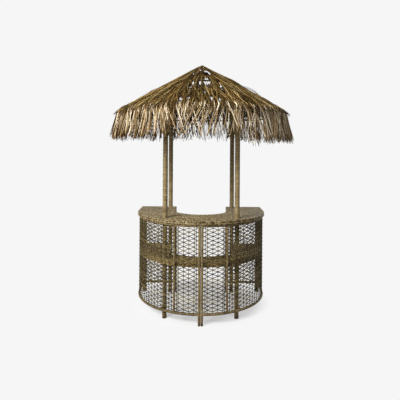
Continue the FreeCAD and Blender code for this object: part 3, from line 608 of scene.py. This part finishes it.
# Point = inner + share * (outer - inner) + height + relief * outward direction, with relief = depth *
# (crown * (0.6 + 0.4 * cos(pi * (rib + strand))) - 1), where crown is 0 between strands and 1 on
# them, less the groove and the rounding of the ends
def wovenBoard(kind, tag, inner, outer, seed, material):
    node, side = kind + "_" + tag, sides.get(tag, 1)
    low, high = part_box(node)
    random = np.random.default_rng(seed)
    length = lengthAlong(outer(np.linspace(0, 1, 200)))[-1]
    ribs = round(length / weave["rib"])
    edge = weave["edge"]
    start = edge * np.array(weave["rounding"])
    distance = np.concatenate([start, np.linspace(edge, length - edge, ribs * weave["rowsToRib"]),
                               length - start[::-1]])
    inside, outside = inner(distance / length), outer(distance / length)
    width = float(np.linalg.norm(outside - inside, axis=1).mean())
    share, z, outward, rise, at = boardOutline(width, high.z - low.z)
    count, size = len(distance), len(share)
    strand = np.arange(size) // 3
    crown = np.array([0.0, 1.0, 1.0])[np.arange(size) % 3]
    over = np.cos(np.pi * (distance[:, None] / length * ribs + strand))
    relief = weave["depth"] * (crown * ((1 + weave["under"]) / 2 + (1 - weave["under"]) / 2 * over) - 1)
    groove = np.exp(-((z - rim["height"]) / rim["half"]) ** 2) * (outward > 0.5)
    relief = relief - rim["depth"] * groove
    fromEnd = np.minimum(np.minimum(distance, length - distance), edge) / edge
    relief = relief - edge * (1 - np.sqrt(1 - (1 - fromEnd[:, None]) ** 2))
    across = outside - inside
    points = inside[:, None] + across[:, None] * share[:, None] + up * (low.z + z)[:, None]
    points = points + relief[..., None] * (unit(across)[:, None] * outward[:, None] + up * rise[:, None])
    # Tone: patches at random along each strand, with painted shade in the grooves between strands, where a
    # strand dips under a rib, at the rounded ends of the board and in the rim groove.
    patches = np.arange(weave["patches"])
    level = random.uniform(*weave["tones"], (size // 3, len(patches)))
    spot = distance / length * patches[-1]
    tone = np.stack([np.interp(spot, patches, row) for row in level], 1)[:, strand]
    tone = tone * (weave["grooveShade"] + (1 - weave["grooveShade"]) * crown)
    tone = tone * (1 - weave["underRibShade"] + weave["underRibShade"] * over)
    tone = tone * (weave["endTone"] + (1 - weave["endTone"]) * fromEnd[:, None]) * (1 - groove)
    i, j = np.meshgrid(np.arange(count - 1), np.arange(size), indexing="ij")
    after = (j + 1) % size
    quads = np.stack([i * size + j, i * size + after, (i + 1) * size + after, (i + 1) * size + j], -1)
    corners = quadCorners(distance[i], distance[i + 1], j * at[1], (j + 1) * at[1])
    near = np.arange(1, size // 2 - 1)
    cap = np.stack([near, near + 1, size - near - 1, size - near], -1)
    tips = np.array([[0, 1, size - 1], [size // 2 - 1, size // 2, size // 2 + 1]])
    last = (count - 1) * size
    capCorners = np.stack([at[cap], 0 * cap], -1)
    blocks = [(quads.reshape(-1, 4), corners.reshape(-1, 4, 2)),
              (np.concatenate([cap[:, ::-1], last + cap]), np.concatenate([capCorners, capCorners])),
              (np.concatenate([tips[:, ::-1], last + tips]), np.zeros((4, 3, 2)))]
    points = mirrored(points.reshape(-1, 3), side)
    if side < 0:
        blocks = [(index[:, ::-1], corners[:, ::-1]) for index, corners in blocks]
    makePiece(kind + "Board_" + tag, points, blocks, tone, material, [node], "woven_board")


# Angle at which the right-hand seam, a straight line past the front pole, crosses a circle round
# the drum: |pole + t * direction - axis| = radius, solved for t
def seamAngle(radius, aside):
    direction = np.array([math.sin(seam["angle"]), -math.cos(seam["angle"])])
    normal = np.array([math.cos(seam["angle"]), math.sin(seam["angle"])])
    start = np.array([polePlace[0], polePlace[1] - drumY]) + normal * aside
    reach = -start @ direction + math.sqrt((start @ direction) ** 2 - start @ start + radius ** 2)
    x, y = start + direction * reach
    return math.atan2(x, -y)


def frontArc(radius):  # from one seam round the front to the other
    limit = seamAngle(radius, -seam["gap"] / 2)
    return lambda share: onDrum(radius * limit * (2 * share - 1), radius)[0]


def wingArc(radius, back):  # from the seam round the side, then straight back
    start = radius * seamAngle(radius, seam["gap"] / 2)
    end = radius * np.pi / 2 + back - drumY
    return lambda share: onDrum(start + (end - start) * share, radius)[0]


def straightEdge(x, start, back):  # straight back at one distance from the middle
    return lambda share: np.stack([0 * share + x, start + (back - start) * share, 0 * share], -1)


wellRadius = 0.290   # inner edge of the counter
shelfInner = 0.383   # inner edge of the middle shelf
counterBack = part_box("counter_right")[1].y
wovenBoard("counter", "center", frontArc(wellRadius), frontArc(counterRadius), 300, boardWicker)
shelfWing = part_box("shelf_right")[0].x
shelfRadius, shelfBack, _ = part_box("shelf_right")[1]
shelfSeam = polePlace[1] + (polePlace[0] - shelfWing) / math.tan(seam["angle"])
wovenBoard("shelf", "center", frontArc(shelfInner), frontArc(shelfRadius), 301, shelfWickerPaintedLight)
for tag, side in sides.items():
    wovenBoard("counter", tag, wingArc(wellRadius, counterBack), wingArc(counterRadius, counterBack),
               310 + side, boardWicker)
    wovenBoard("shelf", tag, straightEdge(shelfWing, shelfSeam, shelfBack), wingArc(shelfRadius, shelfBack),
               320 + side, shelfWickerPaintedLight)
print("boards woven")

# Thatch
pitch = math.radians(30)
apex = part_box("thatch_cap")[1].z
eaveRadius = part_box("thatch_lower")[1].x
eaveSlope = eaveRadius / math.cos(pitch)
thatchDepth = 0.035
leaf = dict(narrow=0.0032, wide=0.0090, fewBroad=2.2, fold=0.25, rings=6, opened=0.3, taper=0.8,
            eaveBend=1.5, bendFrom=0.05, pastEave=0.035)

# Where the thatch swells: azimuth in degrees, distance down the slope, half sizes of both, height
swells = [(4, 0.40, 34, 0.14, 0.022), (168, 0.62, 30, 0.14, 0.008), (-100, 0.66, 26, 0.12, 0.010),
          (60, 0.30, 30, 0.12, 0.012), (115, 0.70, 26, 0.14, 0.012), (-40, 0.74, 18, 0.10, 0.008)]

# The camera's eye and picture, so that light comes through the thatch where the photograph shows it
eye = dict(place=(0.0, -4.40, 1.708), focal=404.0, middle=(201.5, 147.0))

# Thin places, in pixels of the photograph: middle, half width and height, share of whole leaves
thinPlaces = [(205.8, 73.2, 3.2, 3.0, 0.04), (206.5, 81.4, 4.3, 3.8, 0.035), (193.2, 74.8, 1.3, 1.7, 0.10),
              (197.1, 73.8, 1.3, 2.0, 0.12), (192.4, 82.7, 1.2, 2.3, 0.0), (199.4, 82.6, 1.3, 2.8, 0.05),
              (189.5, 87.2, 1.3, 1.5, 0.10), (188.1, 97.1, 1.7, 3.8, 0.10), (180.5, 99.2, 1.8, 1.6, 0.05),
              (211.2, 97.8, 1.1, 3.6, 0.0), (220.5, 86.5, 1.3, 1.5, 0.05), (217.4, 80.8, 1.0, 2.2, 0.12),
              (219.4, 99.4, 1.0, 1.8, 0.15), (209.0, 74.4, 1.0, 1.7, 0.05), (185.4, 80.2, 1.0, 1.2, 0.20),
              (204.2, 91.9, 1.1, 1.4, 0.10), (200.4, 70.5, 0.9, 1.1, 0.15), (194.4, 93.2, 1.0, 1.2, 0.20),
              (207.4, 87.4, 0.9, 1.1, 0.20)]

# Where a leaf ends there, as a share of the half size; the share of leaves whose upper part stays
# even if it is the shorter; the points looked at along a leaf; the least part that is kept
thin = dict(edge=(0.75, 1.15), above=0.45, samples=81, least=0.12)


# Unit vectors at an azimuth: away from the roof's axis, and round it
def turned(azimuth):
    out = np.stack([np.cos(azimuth), np.sin(azimuth), 0 * azimuth], -1)
    return out, np.stack([-np.sin(azimuth), np.cos(azimuth), 0 * azimuth], -1)


def tuftLeans(look, random):  # each leaf leans with its tuft and a little on its own
    leans = np.repeat(random.normal(0, look["tuftLean"], look["tufts"]), look["leaves"])
    return leans + random.normal(0, look["lean"], len(leans))


def tuftTones(look, random):  # a mix of the tuft's tone and each leaf's own
    tones = look["tuftTone"] * np.repeat(random.random(look["tufts"]), look["leaves"])
    return (tones + (1 - look["tuftTone"]) * random.random(len(tones))) ** look["toneCurve"]


# Folded leaves along lines (leaves, rings, 3). The width grows from a share at the root to 1, and
# falls over the last part, point[0], to a blunt end, point[1].
def leafBlades(name, node, lines, sideways, widths, tones, rolls, look, material):
    t = np.linspace(0, 1, lines.shape[1])
    root, (part, blunt) = look["rootWidth"], look["point"]
    share = root + (1 - root) * np.minimum(t / leaf["opened"], 1)
    share = share * np.clip((1 - t) / part, blunt, 1) ** leaf["taper"]
    fold = np.array([[-0.5, 0.0], [0.5, 0.0], [0.0, leaf["fold"]]])
    size = widths[:, None, None] * share[None, :, None]
    a, b = fold[:, 0], fold[:, 1]
    turn = rolls[:, None, None]
    profile = np.stack([size * (a * np.cos(turn) - b * np.sin(turn)),
                        size * (a * np.sin(turn) + b * np.cos(turn))], -1)
    skins = carriedStrands(lines, sideways, profile, 2 * leaf["wide"], tones)
    makePiece(name, *skins, material, [node], "thatch", smooth=False)


# Point on the roof: down the slope from the apex by a distance, and under its surface by a depth
def onSlope(azimuth, distance, depth):
    out = turned(azimuth)[0]
    down = out * math.cos(pitch) - up * math.sin(pitch)
    normal = out * math.sin(pitch) + up * math.cos(pitch)
    over = np.maximum(distance - (eaveSlope - leaf["bendFrom"]), 0)
    sag = leaf["eaveBend"] * over ** 2
    return up * apex + down * distance[..., None] - normal * depth[..., None] - up * sag[..., None]


# Height of the swells: the sum of height * exp(-(angle / half size)^2 - (distance / half size)^2),
# with angle and distance taken from each swell's middle
def swell(azimuth, distance):
    total = 0 * distance
    for angle, middle, wide, long, height in swells:
        off = (np.degrees(azimuth) - angle + 180) % 360 - 180
        total += height * np.exp(-(off / wide) ** 2 - ((distance - middle) / long) ** 2)
    return total


# Points at shares (leaves, points) of the way along lines, each between the two nearest old ones
def partWay(lines, share):
    at = share * (lines.shape[1] - 1)
    before = np.minimum(at.astype(int), lines.shape[1] - 2)
    leaves = np.arange(len(lines))[:, None]
    rest = (at - before)[..., None]
    return lines[leaves, before] * (1 - rest) + lines[leaves, before + 1] * rest


# Where a leaf, seen from the eye, comes near the middle of a thin place, one part beside it stays,
# mostly the longer. A share of the leaves, by chance, run across it whole.
def thinned(lines, random):
    count = len(lines)
    share = np.linspace(0, 1, thin["samples"])
    points = partWay(lines, np.broadcast_to(share, (count, len(share)))) - np.array(eye["place"])
    x = eye["middle"][0] + eye["focal"] * points[..., 0] / points[..., 1]
    y = eye["middle"][1] - eye["focal"] * points[..., 2] / points[..., 1]
    start, end = np.zeros(count), np.ones(count)
    for middleX, middleY, halfX, halfY, whole in thinPlaces:
        near = random.uniform(*thin["edge"], (count, 1)) * (random.random((count, 1)) > whole)
        inside = np.hypot((x - middleX) / halfX, (y - middleY) / halfY) < near
        inside &= (share >= start[:, None]) & (share <= end[:, None])
        crosses = inside.any(axis=1)
        first = share[np.argmax(inside, axis=1)]
        last = share[-1 - np.argmax(inside[:, ::-1], axis=1)]
        upper = (first - start > end - last) | (random.random(count) < thin["above"])
        start = np.where(crosses & ~upper, last, start)
        end = np.where(crosses & upper, first, end)
    rings = np.linspace(0, 1, lines.shape[1])
    return partWay(lines, start[:, None] + (end - start)[:, None] * rings), end - start > thin["least"]


def leafWidths(count, random):  # many narrow leaves and a few broad ones
    return leaf["narrow"] + (leaf["wide"] - leaf["narrow"]) * random.random(count) ** leaf["fewBroad"]


# What the courses share. Root and tip give the depth of a leaf's two ends, as shares of the thatch's:
# a factor on how low its layer is, and what is added.
course = dict(leaves=5, scatter=0.02, nearest=0.004, crowded=0.06, ragged=0.015, past=(0.02, 0.10),
              short=0.045, shortest=0.10, root=(0.9, 0.05), tip=(0.6, -0.02), depthCurve=0.8,
              uneven=0.0015, skin=0.001, strayShare=(0.4, 1.0), strayHeight=0.028, strayRun=1.3,
              strayFrom=0.3, tuftTone=0.15, toneCurve=1.4, lowLayerShade=0.10, layerCurve=1.6, tipTone=0.25,
              eaveShade=0.15, eaveBand=(0.03, 0.05), roll=0.45, rootWidth=0.6, point=(0.4, 0.2))


# A layer of leaves that grow from tufts. On the cone laid flat each leaf is a straight run with a
# slight bend: position = start + sum of steps * (cos heading, sin heading). The deeper it lies the
# darker it is painted, as painted shade inside the thatch, and strays arch off the roof.
def thatchCourse(name, node, look):
    random = np.random.default_rng(look["seed"])
    tufts, leaves = look["tufts"], look["leaves"]
    count = tufts * leaves
    near, far = look["start"]
    slope = np.repeat(np.sqrt(random.uniform(near ** 2, far ** 2, tufts)), leaves)
    slope = np.clip(slope + random.normal(0, look["scatter"], count), look["nearest"], None)
    spread = look["tuftWidth"] / np.maximum(slope, look["crowded"])
    azimuth = np.repeat(random.uniform(0, 2 * np.pi, tufts), leaves) + random.normal(0, 1, count) * spread
    heading = tuftLeans(look, random)
    length = random.uniform(*look["length"], count)
    overhang = random.random(count) < look["overhang"]
    reach = random.exponential(look["ragged"], count) - look["short"]
    reach = reach + overhang * random.uniform(*look["past"], count)
    reach = eaveSlope + np.minimum(reach, leaf["pastEave"])
    length = np.minimum(length, np.maximum(reach - slope, look["shortest"]))
    bend = random.normal(0, look["bend"], count)
    t = np.linspace(0, 1, leaf["rings"])
    angle = heading[:, None] + bend[:, None] * t
    step = length[:, None] / (leaf["rings"] - 1)
    ahead = slope[:, None] + np.cumsum(step * np.cos(angle), axis=1) - step * np.cos(angle[:, :1])
    aside = np.cumsum(step * np.sin(angle), axis=1) - step * np.sin(angle[:, :1])
    distance = np.hypot(ahead, aside)
    around = azimuth[:, None] + np.arctan2(aside, ahead) / math.cos(pitch)
    layer = random.random(count)  # 0 in the lowest layer and 1 in the top one
    deep, shallow = [(1 - layer) * share + more for share, more in (look["root"], look["tip"])]
    depth = (deep[:, None] + (shallow - deep)[:, None] * t ** look["depthCurve"]) * thatchDepth
    stray = (random.random(count) < look["stray"]) * random.uniform(*look["strayShare"], count)
    depth = np.maximum(depth + random.normal(0, look["uneven"], depth.shape), look["skin"])
    arch = np.sin(np.pi * np.clip(t * look["strayRun"], 0, 1)) * (distance > look["strayFrom"])
    depth = depth - look["strayHeight"] * stray[:, None] * arch - swell(around, distance)
    lines = onSlope(around, distance, depth)
    tones = tuftTones(look, random)
    tones = tones * (look["lowLayerShade"] + (1 - look["lowLayerShade"]) * layer ** look["layerCurve"])
    tones = look["tone"][0] + look["tone"][1] * tones[:, None] * (1 + look["tipTone"] * t)
    above, span = look["eaveBand"]
    tones = tones * (1 - look["eaveShade"] * np.clip((distance - eaveSlope + above) / span, 0, 1))
    rolls = random.normal(0, look["roll"], count)
    lines, kept = thinned(lines, random)
    leafBlades(name, node, lines[kept], turned(around)[1][kept], leafWidths(count, random)[kept],
               tones[kept], rolls[kept], look, slopeLeaf)


courses = {
    "cap": dict(seed=401, tufts=350, start=(0.0, 0.16), length=(0.26, 0.46), stray=0.01, tuftWidth=0.008,
                tuftLean=0.08, lean=0.07, bend=0.05, tone=(-0.05, 1.15), overhang=0),
    "upper": dict(seed=402, tufts=800, start=(0.14, 0.52), length=(0.30, 0.54), stray=0.015, tuftWidth=0.009,
                  tuftLean=0.13, lean=0.10, bend=0.06, tone=(-0.06, 1.2), overhang=0),
    "lower": dict(seed=403, tufts=1090, start=(0.46, 0.94), length=(0.26, 0.46), stray=0.012, tuftWidth=0.010,
                  tuftLean=0.16, lean=0.13, bend=0.08, tone=(-0.06, 1.2), overhang=0.32)}
for name, look in courses.items():
    thatchCourse("thatchLeaves_" + name, "thatch_" + name, dict(course, **look))

# Up to a share "broken" of the leaves, where the fringe is sparse, broke off at "stub" times their
# part on the slope. "along" gives the tone from root to tip: painted shade darkens the part on the
# slope and painted light brightens the hanging part, so that the top and the hang come out alike
# under the lamps; the tips are darker.
fringe = dict(seed=411, tufts=360, leaves=5, rings=9, tuftPlace=0.010, tuftWidth=0.009, onSlope=0.09,
              onSlopeShare=(0.2, 1.0), bendLength=0.045, inset=0.022, layers=(0.1, 0.8), short=0.10,
              long=0.318, tuftDrop=(0.76, 1.02), leafDrop=(0.20, 1.0), dropCurve=(0.22, 0.30),
              leftShorter=0.012, longPlace=(-62.0, 12.0, 0.035), longSparse=0.5, broken=0.62, stub=0.9,
              tuftLean=0.16, lean=0.13, curl=0.15, upright=(81.3, 2.8), broader=1.3, tone=(0.06, 1.22),
              tuftTone=0.2, toneCurve=1.1, innerLayerShade=(1.2, 0.7),
              along=[(0, 0.45), (0.40, 1.20), (0.85, 1.20), (1, 0.55)], roll=0.6, rootWidth=0.9,
              point=(0.05, 0.65))

# How the hanging leaves are combed: azimuth in degrees, and the lean to the right seen from outside
combed = [(-180, 0.0), (-125, 0.0), (-113, 0.20), (-106, 0.0), (-98, -0.32), (-81, -0.36), (-75, 0.05),
          (-62, 0.10), (-45, 0.0), (20, -0.08), (60, 0.12), (100, -0.14), (140, 0.10), (180, 0.0)]


# Each leaf's lengths before and past the eave. The drop is the tuft's share times a power of the
# leaf's own, and a broken leaf ends just past the eave.
def fringeLengths(azimuth, look, random):
    count = len(azimuth)
    place, half, more = look["longPlace"]
    off = np.degrees(np.angle(np.exp(1j * (azimuth - math.radians(place)))))
    longer = np.exp(-(off / half) ** 2)
    sparse = np.maximum(-np.cos(2 * azimuth), 0) ** 2  # 1 at the front and the back, 0 at the sides
    sparse = sparse + look["longSparse"] * longer
    drop = np.repeat(random.uniform(*look["tuftDrop"], look["tufts"]), look["leaves"])
    curve = look["dropCurve"][0] + look["dropCurve"][1] * sparse
    drop = drop * random.uniform(*look["leafDrop"], count) ** curve
    broken = random.random(count) < look["broken"] * sparse
    hang = look["short"] + (look["long"] - look["short"]) * drop
    hang = hang + look["leftShorter"] * np.cos(azimuth) + more * longer * drop
    before = random.uniform(*look["onSlopeShare"], count) * look["onSlope"]
    return before, np.where(broken, before * look["stub"], hang)


# Leaves that come down the slope, fold over the eave and hang. The direction below the horizon
# goes from the pitch to nearly upright over the bend; radius and height are the running sums of
# its cosine and sine. Sideways the leaf leans, and curls with the square of the length hung.
def makeFringe(name, node, look):
    random = np.random.default_rng(look["seed"])
    tufts, leaves, rings = look["tufts"], look["leaves"], look["rings"]
    count = tufts * leaves
    azimuth = np.arange(tufts) / tufts * 2 * np.pi + random.normal(0, look["tuftPlace"], tufts)
    azimuth = np.repeat(azimuth, leaves) + random.normal(0, look["tuftWidth"], count) / eaveRadius
    before, hang = fringeLengths(azimuth, look, random)
    total = before + hang
    t = np.linspace(0, 1, rings)
    s = total[:, None] * t - before[:, None]
    upright = np.radians(random.normal(*look["upright"], count))[:, None]
    angle = pitch + (upright - pitch) * np.clip(s / look["bendLength"] + 0.5, 0, 1)
    step = total[:, None] / (rings - 1)
    middleAngle = (angle[:, 1:] + angle[:, :-1]) / 2
    steps = step * np.stack([np.cos(middleAngle), np.sin(middleAngle)])
    radius, fall = np.cumsum(np.concatenate([np.zeros((2, count, 1)), steps], -1), axis=-1)
    startRadius = eaveRadius - look["inset"] - before[:, None] * math.cos(pitch)
    layer = random.random(count)[:, None]
    raised = (look["layers"][0] - look["layers"][1] * layer) * thatchDepth
    startHeight = apex - startRadius * math.tan(pitch) + raised
    hung = np.maximum(s, 0)
    lean = tuftLeans(look, random)
    lean = lean + np.interp((np.degrees(azimuth) + 180) % 360 - 180, *zip(*combed))
    curl = random.normal(0, look["curl"], count)
    aside = lean[:, None] * hung + curl[:, None] * hung ** 2
    out, around = [vectors[:, None] for vectors in turned(azimuth)]
    lines = (out * (startRadius + radius)[..., None]
             + up * (startHeight - fall)[..., None] + around * aside[..., None])
    tones = tuftTones(look, random)[:, None]
    # inner layers darker: painted shade inside the fringe
    tones = tones * (look["innerLayerShade"][0] - look["innerLayerShade"][1] * layer)
    tones = look["tone"][0] + look["tone"][1] * tones * np.interp(t, *zip(*look["along"]))
    rolls = random.normal(0, look["roll"], count)
    widths = look["broader"] * leafWidths(count, random)
    leafBlades(name, node, lines, np.broadcast_to(around, lines.shape), widths, tones, rolls, look,
               fringeLeaf)


makeFringe("thatchLeaves_fringe", "thatch_fringe", fringe)
print("thatch laid")

# Studio: a pale floor that keeps the shadow near the hut and fades to plain light further out
studio = dict(pale=tint(246, 246, 246), bounce=tint(150, 148, 144), plainShare=0.35, nearFloor=0.50,
              farFloor=0.80, halfFloor=40.0, skyStrength=0.40, lens=36.36, sensor=36.0, roll=-0.4,
              shift=(-0.0039, -0.1325))


def studioPath(maker):  # 1 on what the camera, a reflection or a lens sees
    path = maker.node("ShaderNodeLightPath", output="Is Camera Ray")
    outputs = path.socket.node.outputs
    glossy, through = Wire(maker, outputs["Is Glossy Ray"]), Wire(maker, outputs["Is Transmission Ray"])
    return maker.math("MAXIMUM", maker.math("MAXIMUM", path, glossy), through)


floorMaterial, maker = newMaterial("paleFloor")
fromMiddle = maker.node("ShaderNodeVectorMath", {"operation": "DISTANCE"},
                        [maker.place(), (0, drumY, 0)], output="Value")
fade = maker.node("ShaderNodeMapRange", {"interpolation_type": "SMOOTHSTEP"},
                  [fromMiddle, studio["nearFloor"], studio["farFloor"], studio["plainShare"], 1.0])
seenPath = studioPath(maker)
matte = maker.node("ShaderNodeBsdfDiffuse", {}, [maker.blend(seenPath, studio["bounce"], studio["pale"])])
plain = maker.node("ShaderNodeEmission", {}, [studio["pale"], 1.0])
mixed = maker.node("ShaderNodeMixShader", {}, [fade * seenPath, matte, plain])
maker.node("ShaderNodeOutputMaterial", {}, [mixed])
half = studio["halfFloor"]
floorMesh = bpy.data.meshes.new("floor")
corners = [(-half, -half, 0), (half, -half, 0), (half, half, 0), (-half, half, 0)]
floorMesh.from_pydata(corners, [], [(0, 1, 2, 3)])
floorMesh.materials.append(floorMaterial)
addObject("floor", floorMesh)

world = bpy.data.worlds.new("studio")
bpy.context.scene.world = world
world.use_nodes = True
maker = NodeMaker(world.node_tree)
sky = maker.node("ShaderNodeBackground", {}, [(1.0, 1.0, 1.0, 1.0), studio["skyStrength"]])
seen = maker.node("ShaderNodeBackground", {}, [studio["pale"], 1.0])
mixed = maker.node("ShaderNodeMixShader", {}, [studioPath(maker), sky, seen])
maker.node("ShaderNodeOutputWorld", {}, [mixed])

# Lamps: place, aim, size, power
lamps = {"keyLamp": ((-3.4, -4.2, 4.0), (0, 0, 1.2), 2.2, 480),
         "topLamp": ((-0.8, -0.6, 6.4), (0, 0, 1.0), 3.0, 45),
         "backLamp": ((3.6, 4.2, 3.0), (0, 0, 1.2), 3.0, 80)}
for name, (place, aim, size, power) in lamps.items():
    data = bpy.data.lights.new(name, "AREA")
    data.shape = "DISK"
    data.size = size
    data.energy = power
    lamp = addObject(name, data)
    lamp.location = place
    lamp.rotation_euler = (Vector(aim) - Vector(place)).to_track_quat("-Z", "Y").to_euler()

cameraData = bpy.data.cameras.new("camera")
cameraData.lens = studio["lens"]
cameraData.sensor_width = studio["sensor"]
cameraData.shift_x, cameraData.shift_y = studio["shift"]
camera = addObject("camera", cameraData)
camera.location = eye["place"]
camera.rotation_euler = (math.radians(90), math.radians(studio["roll"]), 0)
bpy.context.scene.camera = camera
bpy.context.scene.view_settings.view_transform = "Standard"
print("studio lit")
